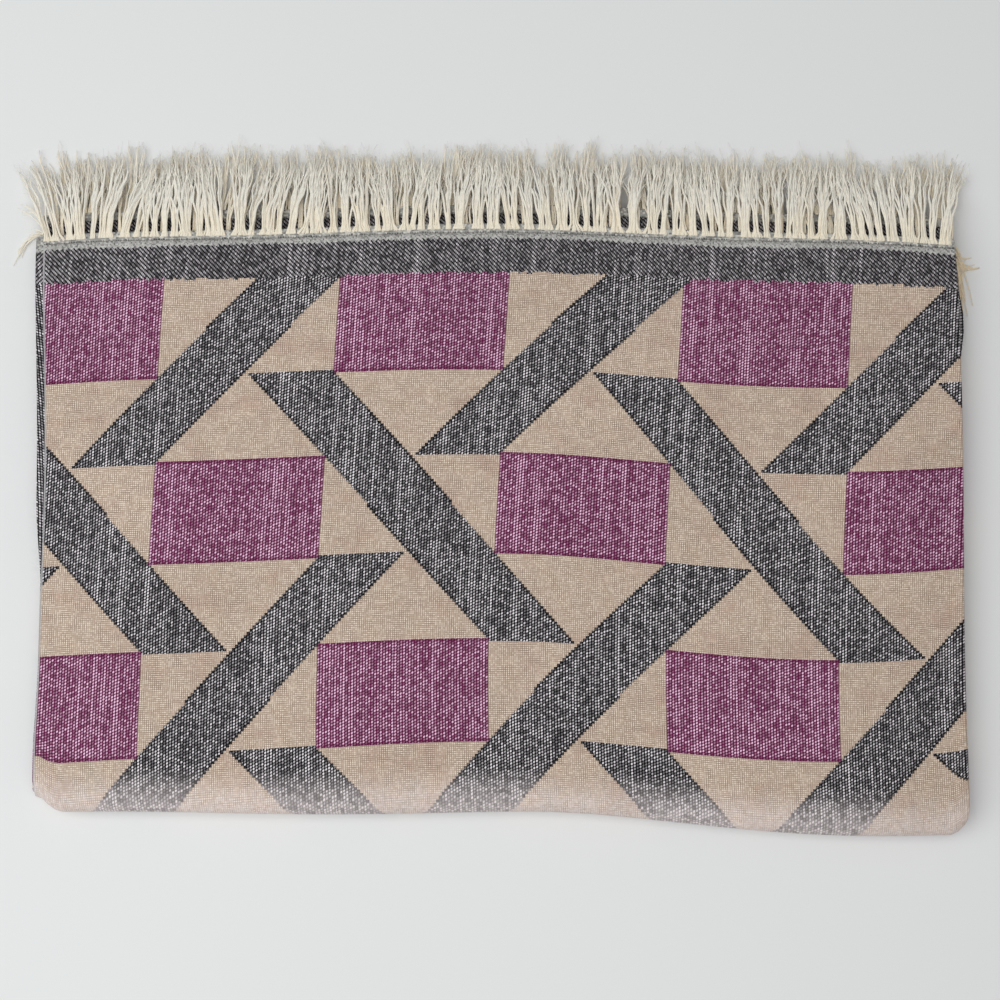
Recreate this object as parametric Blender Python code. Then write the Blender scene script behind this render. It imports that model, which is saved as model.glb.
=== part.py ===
"""A fringed jacquard throw, folded in half across its width and then twice along its length.

Metres, +Z up. +X is the side of the width fold, +Y the side of the two fringed ends, and the throw rests on
z = 0. The cloth is one sheet: a hairpin across its width (two leaves, open at -X and folded at +X), swept along
the path of the length folds. That path has four runs, named from the top of the stack down:

    a  top run, from the first fringed end at +Y to the big fold at -Y
    d  bottom run, from the big fold at -Y to the turn at +Y
    c  from the turn at +Y to the small fold at -Y
    b  from the small fold at -Y to the second fringed end at +Y, just under run a

Every piece is first laid out with flat, level layers and then settled by one smooth map, which only slides
points sideways by their height and scales their height. So layers that are apart stay apart.
"""

import bmesh
import bpy
import numpy as np

# The cloth.
CLOTH_LENGTH = 1.61
SHEET = 0.0022
LAYER_PITCH = 0.0035
FACE_WIDTH = 0.6515
FACE_LENGTH = 0.404
UNDER_END_REACH = 0.017
LEFT_SLIP = 0.006
HEADING = 0.0065
PART_GAP = 0.0003

# Heights of the four runs, each two leaves thick.
LEAF_OFFSET = LAYER_PITCH / 2
RUN_PITCH = 2 * LAYER_PITCH
RUN_HALF = LEAF_OFFSET + SHEET / 2
RUN_HEIGHT = {name: RUN_HALF + level * RUN_PITCH for level, name in enumerate("dcba")}
STACK_HEIGHT = RUN_HEIGHT["a"] + RUN_HALF

# Places along Y. The face runs from the first end to the outside of the big fold.
BIG_FOLD_RADIUS = 1.5 * RUN_PITCH
SMALL_FOLD_RADIUS = 0.5 * RUN_PITCH
FIRST_END_Y = FACE_LENGTH / 2
SECOND_END_Y = FIRST_END_Y + UNDER_END_REACH
FOLD_Y = FIRST_END_Y - FACE_LENGTH + BIG_FOLD_RADIUS + RUN_HALF
FOLDS_LENGTH = np.pi * (BIG_FOLD_RADIUS + 2 * SMALL_FOLD_RADIUS)
RUNS_A_AND_B = (FIRST_END_Y - FOLD_Y) + (SECOND_END_Y - FOLD_Y)
TURN_Y = FOLD_Y + (CLOTH_LENGTH - FOLDS_LENGTH - RUNS_A_AND_B) / 2

# Places along X.
LEFT_X = -FACE_WIDTH / 2
RIGHT_X = FACE_WIDTH / 2
WIDTH_FOLD_X = RIGHT_X - RUN_HALF

# How finely the cloth is divided.
RUN_STEPS = 10
BIG_FOLD_STEPS = 9
SMALL_FOLD_STEPS = 5
LEAF_STEPS = 11
WIDTH_FOLD_STEPS = 5

# The fringe. Each row's roots come out of one leaf of a heading, and the rows lie in a stack on the floor.
ROW_PITCH = 0.0029
LOCK_HALF_HEIGHT = 0.00105
LOCK_HALF_WIDTH = 0.0019
LEAN_REACH = 0.0075
LEAN_WAVE = 0.118
LEFT_SPLAY = 0.015
RIGHT_SPLAY = 0.012
SPLAY_WIDTH = 0.022
TIP_VARIATION = 0.007

# A lock's rings: how far out of its root, how much of its drop, and its width as a share of the full one.
FIRST_END_RINGS = (
    {"out": 0.004, "drop": 0.00, "width": 0.90},
    {"out": 0.021, "drop": 0.05, "width": 1.00},
    {"out": 0.043, "drop": 1.00, "width": 0.85},
)
SECOND_END_RINGS = (
    {"out": 0.004, "drop": 0.02, "width": 0.90},
    {"out": 0.027, "drop": 1.00, "width": 1.00},
    {"out": 0.038, "drop": 1.00, "width": 0.80},
)
# The rows of locks, for each end first its face leaf's and then its back leaf's: which end, how many locks,
# their length, and the row's place in the stack on the floor.
ROWS = (
    {"end": "first", "locks": 84, "length": 0.057, "level": 3},
    {"end": "first", "locks": 44, "length": 0.055, "level": 2},
    {"end": "second", "locks": 44, "length": 0.047, "level": 0},
    {"end": "second", "locks": 48, "length": 0.049, "level": 1},
)

# How the folded stack has settled. Slides move its upper layers aside, and sags lower it towards its edges.
CROWN = 0.008
CROWN_AT_FLOOR = 0.4
UPPER_Y = -0.10
UPPER_LENGTH = 0.30
SLUMP = 0.0165
SLUMP_X = 0.01
SLUMP_WIDTH = 0.27
SLUMP_ABOVE = 0.2
LEFT_FLARE = 0.0035
FLARE_Y = -0.090
FLARE_LENGTH = 0.10
LEFT_BOW = 0.005
BOW_Y = -0.020
BOW_LENGTH = 0.225
POKE = 0.005
POKE_Y = 0.150
POKE_LENGTH = 0.024
POKE_HEIGHT = 0.62
POKE_THICKNESS = 0.16
POKE_X = 0.20
POKE_WIDTH = 0.12
SLIDE = 0.0012
SLIDE_TURN = 17.0
RIPPLE = 0.0010
RIPPLE_TURN = 21.0
RIPPLE_BY_HEIGHT = 2.0
SIDE_SAG = 0.15
LEFT_SAG_WIDTH = 0.055
RIGHT_SAG_SHARE = 0.6
RIGHT_SAG_WIDTH = 0.045
FOLD_SAG = 0.10
FOLD_SAG_LENGTH = 0.060
END_SAG = 0.26
END_SAG_BEFORE = 0.035
END_SAG_LENGTH = 0.075
SWELL = 0.03
SWELL_TURNS = {"x": 11.0, "start": 0.6, "y": 13.0, "skew": 7.0}
LEFT_TUCK = 0.011
LEFT_TUCK_WIDTH = 0.017
RIGHT_TUCK = 0.010
RIGHT_TUCK_WIDTH = 0.014
TUCK_LENGTH = 0.075
ON_FLOOR = 1e-9

CLOTH_COLOUR = (0.47, 0.36, 0.27, 1.0)
FRINGE_COLOUR = (0.80, 0.74, 0.62, 1.0)


def clear_scene():
    """Removes every object that the file starts with."""
    for item in list(bpy.data.objects):
        bpy.data.objects.remove(item, do_unlink=True)


def ease(value):
    """A smooth step from 0 to 1 as value goes from 0 to 1."""
    clipped = np.clip(value, 0.0, 1.0)
    return clipped * clipped * (3.0 - 2.0 * clipped)


def corner(away, depth, width):
    """How far a rounded corner draws in: depth at the edge, falling as a square to none at width from it."""
    return depth * (1.0 - np.clip(away / width, 0.0, 1.0)) ** 2


def settle(points):
    """Moves points from the level layout to where the throw has settled.

    x slides by y and height, y slides by x and height, and z is scaled by x and y, so z = 0 stays the floor.
    The tucks round the corners at the big fold.
    """
    x, y, z = points.T
    height = z / STACK_HEIGHT
    front_y = -FACE_LENGTH / 2
    poke = POKE * np.exp(-(((y - POKE_Y) / POKE_LENGTH) ** 2) - ((height - POKE_HEIGHT) / POKE_THICKNESS) ** 2)
    bow = LEFT_BOW * ease((y - BOW_Y) / BOW_LENGTH)
    flare = (LEFT_FLARE * ease((FLARE_Y - y) / FLARE_LENGTH) + bow) * ease(-x / RIGHT_X)
    slide = SLIDE * height * np.sin(SLIDE_TURN * y)
    slid_x = x + poke * ease((x - POKE_X) / POKE_WIDTH) - flare + slide
    upper = ease((y - UPPER_Y) / UPPER_LENGTH)
    rise = CROWN_AT_FLOOR + (1.0 - CROWN_AT_FLOOR) * height
    crown = CROWN * (1.0 - (slid_x / RIGHT_X) ** 2) * upper * rise
    slump = SLUMP * ease((slid_x - SLUMP_X) / SLUMP_WIDTH) * (1.0 - (1.0 - SLUMP_ABOVE) * upper)
    tuck = corner(slid_x - LEFT_X, LEFT_TUCK, LEFT_TUCK_WIDTH)
    tuck = tuck + corner(RIGHT_X - slid_x, RIGHT_TUCK, RIGHT_TUCK_WIDTH)
    tuck = tuck * (1.0 - ease((y - front_y) / TUCK_LENGTH))
    slid_y = y + crown - slump + tuck + RIPPLE * np.sin(RIPPLE_TURN * slid_x + RIPPLE_BY_HEIGHT * height)
    left = SIDE_SAG * (1.0 - ease((x - LEFT_X) / LEFT_SAG_WIDTH))
    right = RIGHT_SAG_SHARE * SIDE_SAG * (1.0 - ease((RIGHT_X - x) / RIGHT_SAG_WIDTH))
    fold = FOLD_SAG * (1.0 - ease((y - front_y) / FOLD_SAG_LENGTH))
    end = END_SAG * ease((y - FIRST_END_Y + END_SAG_BEFORE) / END_SAG_LENGTH)
    turns = SWELL_TURNS
    swell = SWELL * np.sin(turns["x"] * x + turns["start"]) * np.sin(turns["y"] * y + turns["skew"] * x)
    settled_z = z * (1.0 - left - right - fold - end + swell * (1.0 - end / END_SAG))
    settled_z[np.abs(settled_z) < ON_FLOOR] = 0.0
    return np.stack((slid_x, slid_y, settled_z), axis=1)


def run_stations(name, start_y, end_y, normal_z):
    """Stations (y, z, normal y, normal z) along one level run, closer together near its ends."""
    share = np.linspace(0.0, 1.0, RUN_STEPS + 1)
    eased = 0.65 * share + 0.35 * ease(share)
    y = start_y + (end_y - start_y) * eased
    flat = np.zeros_like(y)
    return np.stack((y, flat + RUN_HEIGHT[name], flat, flat + normal_z), axis=1)


def fold_stations(centre_y, lower, upper, radius, start_deg, sweep_deg, steps, outward):
    """Stations around the half circle of the fold between two runs, without the runs' own end stations."""
    angle = np.radians(start_deg + sweep_deg * np.arange(1, steps) / steps)
    centre_z = (RUN_HEIGHT[lower] + RUN_HEIGHT[upper]) / 2
    y, z = np.cos(angle), np.sin(angle)
    return np.stack((centre_y + radius * y, centre_z + radius * z, outward * y, outward * z), axis=1)


def length_path():
    """All stations along the length of the cloth, from the first fringed end to the second."""
    return np.concatenate((
        run_stations("a", FIRST_END_Y, FOLD_Y, 1.0),
        fold_stations(FOLD_Y, "d", "a", BIG_FOLD_RADIUS, 90, 180, BIG_FOLD_STEPS, 1.0),
        run_stations("d", FOLD_Y, TURN_Y, -1.0),
        fold_stations(TURN_Y, "d", "c", SMALL_FOLD_RADIUS, -90, 180, SMALL_FOLD_STEPS, 1.0),
        run_stations("c", TURN_Y, FOLD_Y, 1.0),
        fold_stations(FOLD_Y, "c", "b", SMALL_FOLD_RADIUS, -90, -180, SMALL_FOLD_STEPS, -1.0),
        run_stations("b", FOLD_Y, SECOND_END_Y, -1.0),
    ))


def back_leaf_left(stations):
    """Where the back leaf's left edge lies: it shows past the face's in the upper part of run a."""
    y, z = stations[:, 0], stations[:, 1]
    on_top = z > RUN_HEIGHT["b"] + LAYER_PITCH
    slip = np.where(on_top, LEFT_SLIP * ease((y + 0.06) / 0.08), 0.3 * LEFT_SLIP)
    return LEFT_X - slip


def leaf_shares(steps):
    """Places across a leaf of the cloth, closer together near its edges, where it bends most."""
    return (1.0 - np.cos(np.pi * np.arange(steps + 1) / steps)) / 2


def hairpin(stations, face, back):
    """The hairpin across the width at each station, as the middle surface of the sheet.

    face and back hold the places across each leaf, from 0 at the left edge to 1 at the width fold. Returns x,
    the offset from the path and the x part of the sheet's normal, each an array of stations by points: face
    leaf from left to right, half circle, back leaf from right to left.
    """
    turn = np.pi / 2 - np.pi * np.arange(1, WIDTH_FOLD_STEPS) / WIDTH_FOLD_STEPS
    one = np.ones((len(stations), 1))
    face_x = LEFT_X + (WIDTH_FOLD_X - LEFT_X) * face * one
    turn_x = WIDTH_FOLD_X + LEAF_OFFSET * np.cos(turn) * one
    left = back_leaf_left(stations)[:, None]
    back_x = left + (WIDTH_FOLD_X - left) * back[::-1]
    x = np.concatenate((face_x, turn_x, back_x), axis=1)
    offset = np.concatenate((np.ones(len(face)), np.sin(turn), -np.ones(len(back))))
    normal_x = np.concatenate((np.zeros(len(face)), np.cos(turn), np.zeros(len(back))))
    return x, offset * one, normal_x * one


def sheet_points(stations, side, face, back):
    """Points of one surface of the folded sheet: side is 1 for its outer face and -1 for its inner one."""
    x, offset, normal_x = hairpin(stations, face, back)
    out = side * SHEET / 2
    off_path = offset * (LEAF_OFFSET + out)
    y = stations[:, 0:1] + off_path * stations[:, 2:3]
    z = stations[:, 1:2] + off_path * stations[:, 3:4]
    return np.stack((x + out * normal_x, y, z), axis=2)


def sweep(outer, inner, close_last=True):
    """Vertices and faces of the solid between two surfaces of stations by points.

    Each station's loop is its outer points and then its inner ones backwards. The last station's cells are
    left open when close_last is False, and returned as their four vertex numbers.
    """
    loops = np.concatenate((outer, inner[:, ::-1]), axis=1)
    count, ring = loops.shape[:2]
    number = np.arange(count * ring).reshape(count, ring)
    after = np.roll(number, -1, axis=1)
    walls = np.stack((number[:-1], after[:-1], after[1:], number[1:]), axis=2).reshape(-1, 4)
    half = ring // 2
    near = np.arange(half - 1)
    far = ring - 1 - near
    first = np.stack((number[0, near], number[0, far], number[0, far - 1], number[0, near + 1]), axis=1)
    last = np.stack((number[-1, near], number[-1, near + 1], number[-1, far - 1], number[-1, far]), axis=1)
    faces = [*walls.tolist(), *first.tolist()]
    if close_last:
        faces += last.tolist()
    return loops.reshape(-1, 3), faces, last


def principled(name, colour, roughness):
    """A plain woven finish."""
    material = bpy.data.materials.new(name)
    material.use_nodes = True
    shader = material.node_tree.nodes["Principled BSDF"]
    shader.inputs["Base Color"].default_value = colour
    shader.inputs["Roughness"].default_value = roughness
    shader.inputs["Metallic"].default_value = 0.0
    return material


def add_object(name, points, faces, material, shift):
    """Settles the points, moves them to the throw's own frame and makes the named object."""
    mesh = bpy.data.meshes.new(name)
    mesh.from_pydata((settle(points) + shift).tolist(), [], faces)
    shape = bmesh.new()
    shape.from_mesh(mesh)
    bmesh.ops.recalc_face_normals(shape, faces=shape.faces)
    shape.to_mesh(mesh)
    shape.free()
    mesh.shade_smooth()
    mesh.set_sharp_from_angle(angle=np.radians(50.0))
    mesh.materials.append(material)
    item = bpy.data.objects.new(name, mesh)
    bpy.context.collection.objects.link(item)
    return item


def cloth():
    """The folded cloth with its woven end borders."""
    stations = length_path()
    shares = leaf_shares(LEAF_STEPS)
    points, faces, _ = sweep(*[sheet_points(stations, side, shares, shares) for side in (1, -1)])
    return points, faces


def lean(x, row):
    """How far a lock's tip leans along X: a slow wave, so neighbours lean alike, and a splay at both sides."""
    phase = 1.9 * row["level"] + (0.6 if row["end"] == "first" else 2.4)
    slow = np.sin(2 * np.pi * x / LEAN_WAVE + phase)
    wave = LEAN_REACH * (0.7 * slow + 0.3 * np.sin(61.0 * x + 2.0 * phase))
    left = LEFT_SPLAY * np.exp(-(((x - LEFT_X) / SPLAY_WIDTH) ** 2))
    right = RIGHT_SPLAY * np.exp(-(((x - RIGHT_X) / SPLAY_WIDTH) ** 2))
    return wave - left + right


def lock_rings(row, root, length):
    """The rings of one lock as a list of four-corner arrays, ordered like its root, and its tip."""
    centre = root.mean(axis=0)
    rest_z = LOCK_HALF_HEIGHT + row["level"] * ROW_PITCH
    sides = np.sign(root - centre)
    rings = []
    for ring in FIRST_END_RINGS if row["end"] == "first" else SECOND_END_RINGS:
        share = ring["out"] / row["length"]
        middle = centre + np.array((lean(centre[0], row) * share**1.3, ring["out"], 0.0))
        middle[2] += (rest_z - centre[2]) * ring["drop"]
        half = np.array((LOCK_HALF_WIDTH * ring["width"], 0.0, LOCK_HALF_HEIGHT))
        rings.append(middle + sides * half)
    tip = centre + np.array((lean(centre[0], row), length, 0.0))
    tip[2] = rest_z - (LOCK_HALF_HEIGHT if row["level"] == 0 else 0.0)
    return rings, tip


def fringed_heading(end):
    """The heading strip of one end with its locks, all one solid."""
    face_row, back_row = [row for row in ROWS if row["end"] == end]
    run = "a" if end == "first" else "b"
    normal_z = 1.0 if end == "first" else -1.0
    start = (FIRST_END_Y if end == "first" else SECOND_END_Y) + PART_GAP
    ys = np.array((start, start + HEADING))
    stations = np.stack((ys, 0 * ys + RUN_HEIGHT[run], 0 * ys, 0 * ys + normal_z), axis=1)
    face, back = [np.linspace(0.0, 1.0, row["locks"] + 1) for row in (face_row, back_row)]
    surfaces = [sheet_points(stations, side, face, back) for side in (1, -1)]
    points, faces, roots = sweep(*surfaces, close_last=False)
    points = list(points)
    chance = np.random.default_rng(7)
    for cell, root in enumerate(roots.tolist()):
        on_face = cell < face_row["locks"]
        on_back = cell >= face_row["locks"] + WIDTH_FOLD_STEPS
        if not (on_face or on_back):
            faces.append(root)
            continue
        row = face_row if on_face else back_row
        length = row["length"] + TIP_VARIATION * chance.uniform(-0.9, 0.5)
        rings, tip = lock_rings(row, np.array([points[corner] for corner in root]), length)
        previous = root
        for ring in rings:
            corners = list(range(len(points), len(points) + 4))
            points.extend(ring)
            for side in range(4):
                following = (side + 1) % 4
                faces.append([previous[side], previous[following], corners[following], corners[side]])
            previous = corners
        points.append(tip)
        for side in range(4):
            faces.append([previous[side], previous[(side + 1) % 4], len(points) - 1])
    return np.array(points), faces


def frame_shift(shapes):
    """The move that puts the middle of the settled throw's footprint at the origin."""
    settled = np.concatenate([settle(points) for points, _ in shapes])
    low, high = settled.min(axis=0), settled.max(axis=0)
    return np.array((-(low[0] + high[0]) / 2, -(low[1] + high[1]) / 2, 0.0))


def main():
    """Builds the throw."""
    clear_scene()
    woven = principled("woven_cloth", CLOTH_COLOUR, 0.9)
    yarn = principled("fringe_yarn", FRINGE_COLOUR, 0.95)
    shapes = [cloth(), fringed_heading("first"), fringed_heading("second")]
    shift = frame_shift(shapes)
    names = ("throw_cloth", "fringe_first_end", "fringe_second_end")
    for name, material, (points, faces) in zip(names, (woven, yarn, yarn), shapes):
        add_object(name, points, faces, material, shift)


main()
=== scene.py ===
"""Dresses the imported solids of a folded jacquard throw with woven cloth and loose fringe, on a pale floor.

Metres, +Z up. The throw is first laid out in level layers, as its solids are, and then settled by one smooth
map, so that each piece keeps its place over the solid that it stands for.
"""

import logging
import math
from dataclasses import dataclass, field, fields
from enum import Enum

import bpy
import numpy as np
from mathutils import Matrix, Vector

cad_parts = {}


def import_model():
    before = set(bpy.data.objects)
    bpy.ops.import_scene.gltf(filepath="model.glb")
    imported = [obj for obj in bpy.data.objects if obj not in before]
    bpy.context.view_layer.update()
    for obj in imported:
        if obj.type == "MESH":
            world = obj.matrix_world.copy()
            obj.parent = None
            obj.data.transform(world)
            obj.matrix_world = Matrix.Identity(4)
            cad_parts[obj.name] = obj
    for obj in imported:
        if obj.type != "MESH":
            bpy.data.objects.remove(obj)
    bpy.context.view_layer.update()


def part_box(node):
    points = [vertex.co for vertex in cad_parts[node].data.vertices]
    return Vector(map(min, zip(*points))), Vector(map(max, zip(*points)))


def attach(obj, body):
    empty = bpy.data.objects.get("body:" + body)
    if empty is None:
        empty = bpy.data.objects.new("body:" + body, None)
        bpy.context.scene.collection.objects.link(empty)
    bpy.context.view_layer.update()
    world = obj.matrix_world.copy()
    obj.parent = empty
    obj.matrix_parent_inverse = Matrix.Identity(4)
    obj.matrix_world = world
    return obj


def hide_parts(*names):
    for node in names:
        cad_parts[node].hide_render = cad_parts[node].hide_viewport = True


report = logging.getLogger("throw")


class Leaf(Enum):
    """The two leaves that the fold across the width makes."""

    FACE = 1.0
    BACK = -1.0


class End(Enum):
    """The two fringed ends of the cloth."""

    FIRST = "first"
    SECOND = "second"


def ease(value: np.ndarray) -> np.ndarray:
    """A smooth step from 0 to 1: 3 v squared minus 2 v cubed, with v held between 0 and 1."""
    held = np.clip(value, 0.0, 1.0)
    return held * held * (3.0 - 2.0 * held)


def bell(value: np.ndarray) -> np.ndarray:
    """A bell curve of height 1: e to the power of minus value squared."""
    return np.exp(-(value**2))


@dataclass(frozen=True)
class Crease:
    """A soft ridge or trough along a line over the folded throw."""

    start: tuple[float, float]
    end: tuple[float, float]
    width: float
    rise: float

    def lift(self, x: np.ndarray, y: np.ndarray) -> np.ndarray:
        """How much of its height a point gains.

        A bell curve of the distance from the line, fading towards the line's two ends.

        Args:
            x: Places across, in metres.
            y: Places along, in metres.

        Returns:
            The gain as a share of the height.
        """
        run_x, run_y = self.end[0] - self.start[0], self.end[1] - self.start[1]
        span = run_x**2 + run_y**2
        along = np.clip(((x - self.start[0]) * run_x + (y - self.start[1]) * run_y) / span, 0.0, 1.0)
        away = np.hypot(x - self.start[0] - along * run_x, y - self.start[1] - along * run_y)
        fade = 0.35 + 0.65 * np.sin(math.pi * along)
        return self.rise * fade * bell(away / self.width)


@dataclass(frozen=True)
class Corner:
    """A rounded corner at the big fold: how deep it draws in, and how far from the side edge it starts."""

    depth: float
    width: float

    def tuck(self, away: np.ndarray) -> np.ndarray:
        """How far a point draws in: depth at the edge, falling as a square to none at width from it."""
        return self.depth * (1.0 - np.clip(away / self.width, 0.0, 1.0)) ** 2


@dataclass(frozen=True)
class Settling:
    """How the level stack slumps, crowns and sags as it rests."""

    half_width: float = 0.32575
    face_length: float = 0.404
    stack_height: float = 0.0267
    crown: float = 0.008
    crown_at_floor: float = 0.4
    upper_y: float = -0.10
    upper_length: float = 0.30
    slump: float = 0.0165
    slump_x: float = 0.01
    slump_width: float = 0.27
    slump_above: float = 0.2
    tuck_length: float = 0.075
    flare: float = 0.0035
    flare_y: float = -0.090
    flare_length: float = 0.10
    bow: float = 0.005
    bow_y: float = -0.020
    bow_length: float = 0.225
    poke: float = 0.005
    poke_at: tuple[float, float] = (0.150, 0.62)
    poke_size: tuple[float, float] = (0.024, 0.16)
    poke_x: float = 0.20
    poke_width: float = 0.12
    slide: float = 0.0012
    slide_turn: float = 17.0
    ripple: float = 0.0010
    ripple_turn: float = 21.0
    ripple_by_height: float = 2.0
    side_sag: float = 0.15
    left_sag_width: float = 0.055
    right_sag_share: float = 0.6
    right_sag_width: float = 0.045
    fold_sag: float = 0.10
    fold_sag_length: float = 0.060
    end_sag: float = 0.26
    end_sag_before: float = 0.035
    end_sag_length: float = 0.075
    swell: float = 0.03
    swell_x: tuple[float, float] = (11.0, 0.6)
    swell_y: tuple[float, float] = (13.0, 7.0)
    left_corner: Corner = Corner(0.011, 0.017)
    right_corner: Corner = Corner(0.010, 0.014)
    creases: tuple[Crease, ...] = (
        Crease((-0.33, 0.12), (0.05, 0.16), 0.030, 0.030),
        Crease((0.05, 0.10), (0.33, 0.15), 0.022, -0.028),
        Crease((-0.30, -0.02), (-0.05, -0.06), 0.026, -0.026),
        Crease((0.02, -0.08), (0.32, -0.03), 0.034, 0.026),
        Crease((-0.27, -0.14), (0.10, -0.15), 0.020, -0.024),
        Crease((0.17, 0.05), (0.21, -0.12), 0.024, -0.022),
        Crease((-0.16, 0.17), (-0.10, 0.03), 0.020, 0.020),
    )

    def place(self, points: np.ndarray) -> np.ndarray:
        """Moves points of the level layout to where the throw has settled.

        x slides by y and height, y slides by x and height, and z is scaled by a factor of x and y, so layers
        that lie apart stay apart and the floor stays where it is.

        Args:
            points: An array whose last axis holds x, y and z.

        Returns:
            The settled points in an array of the same shape.
        """
        x, y, z = points[..., 0], points[..., 1], points[..., 2]
        height = z / self.stack_height
        new_x = x + self._slide_across(x, y, height)
        new_y = y + self._slide_along(new_x, y, height)
        return np.stack((new_x, new_y, z * self._squeeze(x, y)), axis=-1)

    def _slide_across(self, x: np.ndarray, y: np.ndarray, height: np.ndarray) -> np.ndarray:
        """The move across: middle layers poke out at the right, the left flares and bows, all slides."""
        poke = bell((y - self.poke_at[0]) / self.poke_size[0])
        poke = poke * bell((height - self.poke_at[1]) / self.poke_size[1])
        poke = self.poke * poke * ease((x - self.poke_x) / self.poke_width)
        flare = self.flare * ease((self.flare_y - y) / self.flare_length)
        flare = flare + self.bow * ease((y - self.bow_y) / self.bow_length)
        slide = self.slide * height * np.sin(self.slide_turn * y)
        return poke - flare * ease(-x / self.half_width) + slide

    def _slide_along(self, x: np.ndarray, y: np.ndarray, height: np.ndarray) -> np.ndarray:
        """The move along: a crown at the fringed side, a slump at the right, round corners, a ripple."""
        upper = ease((y - self.upper_y) / self.upper_length)
        rise = self.crown_at_floor + (1.0 - self.crown_at_floor) * height
        crown = self.crown * (1.0 - (x / self.half_width) ** 2) * upper * rise
        slump = self.slump * ease((x - self.slump_x) / self.slump_width)
        slump = slump * (1.0 - (1.0 - self.slump_above) * upper)
        tuck = self.left_corner.tuck(x + self.half_width) + self.right_corner.tuck(self.half_width - x)
        tuck = tuck * (1.0 - ease((y + self.face_length / 2) / self.tuck_length))
        ripple = self.ripple * np.sin(self.ripple_turn * x + self.ripple_by_height * height)
        return crown - slump + tuck + ripple

    def _squeeze(self, x: np.ndarray, y: np.ndarray) -> np.ndarray:
        """The share of its height that a point keeps: less at the edges, a little more or less in swells."""
        half_length = self.face_length / 2
        left = self.side_sag * (1.0 - ease((x + self.half_width) / self.left_sag_width))
        right = self.side_sag * (1.0 - ease((self.half_width - x) / self.right_sag_width))
        right = self.right_sag_share * right
        fold = self.fold_sag * (1.0 - ease((y + half_length) / self.fold_sag_length))
        end = self.end_sag * ease((y - half_length + self.end_sag_before) / self.end_sag_length)
        swell = np.sin(self.swell_x[0] * x + self.swell_x[1])
        swell = self.swell * swell * np.sin(self.swell_y[0] * y + self.swell_y[1] * x)
        swell = swell + sum(crease.lift(x, y) for crease in self.creases)
        return 1.0 - left - right - fold - end + swell * (1.0 - end / self.end_sag)


@dataclass(frozen=True)
class Stations:
    """Places along the length of the cloth: y, z, the normal's two parts and the length of cloth so far."""

    y: np.ndarray
    z: np.ndarray
    normal_y: np.ndarray
    normal_z: np.ndarray
    woven: np.ndarray


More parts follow.
